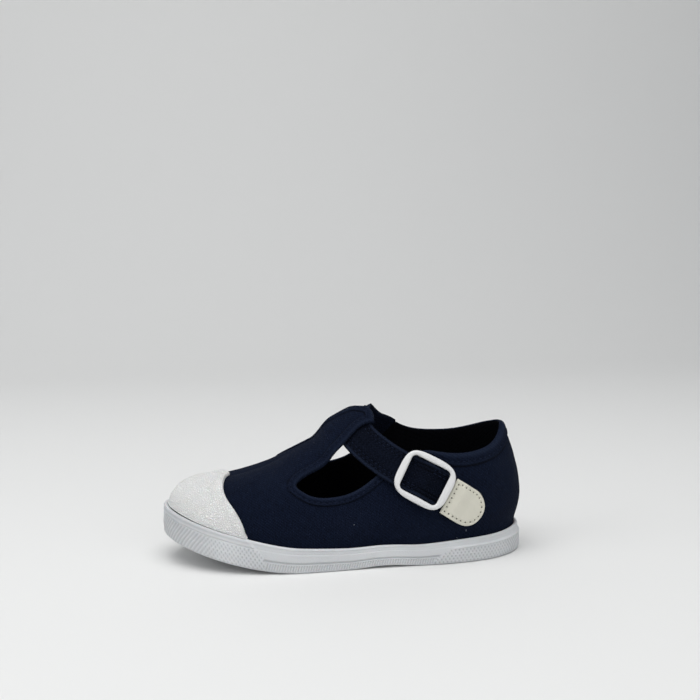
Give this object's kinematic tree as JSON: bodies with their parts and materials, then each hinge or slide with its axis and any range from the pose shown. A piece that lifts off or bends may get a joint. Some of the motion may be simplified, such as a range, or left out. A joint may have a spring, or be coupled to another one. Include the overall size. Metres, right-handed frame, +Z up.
{
  "type": "t-strap shoe",
  "caption": "Child's navy canvas T-strap shoe with white rubber toe cap and foxing, white plastic buckle and ivory tab, left foot, strap fastened.",
  "frame": {"origin": "bottom centre of the bounding box, on the floor under the middle of the sole", "axes": "+X to the toe, +Y to the outer side of the left shoe, +Z up"},
  "size_m": [0.165, 0.0614, 0.0694],
  "materials": {
    "rubber": "matt, moulded",
    "lining": "matt",
    "canvas": "matt weave",
    "cap_rubber": "matt with fine crackle",
    "webbing": "matt weave",
    "plastic": "gloss",
    "hide": "satin"
  },
  "bodies": {
    "root": {"sole": "rubber", "insole": "lining", "upper": "canvas", "toe_cap": "cap_rubber", "strap": "webbing", "buckle": "plastic", "tab": "hide"}
  },
  "joints": []
}
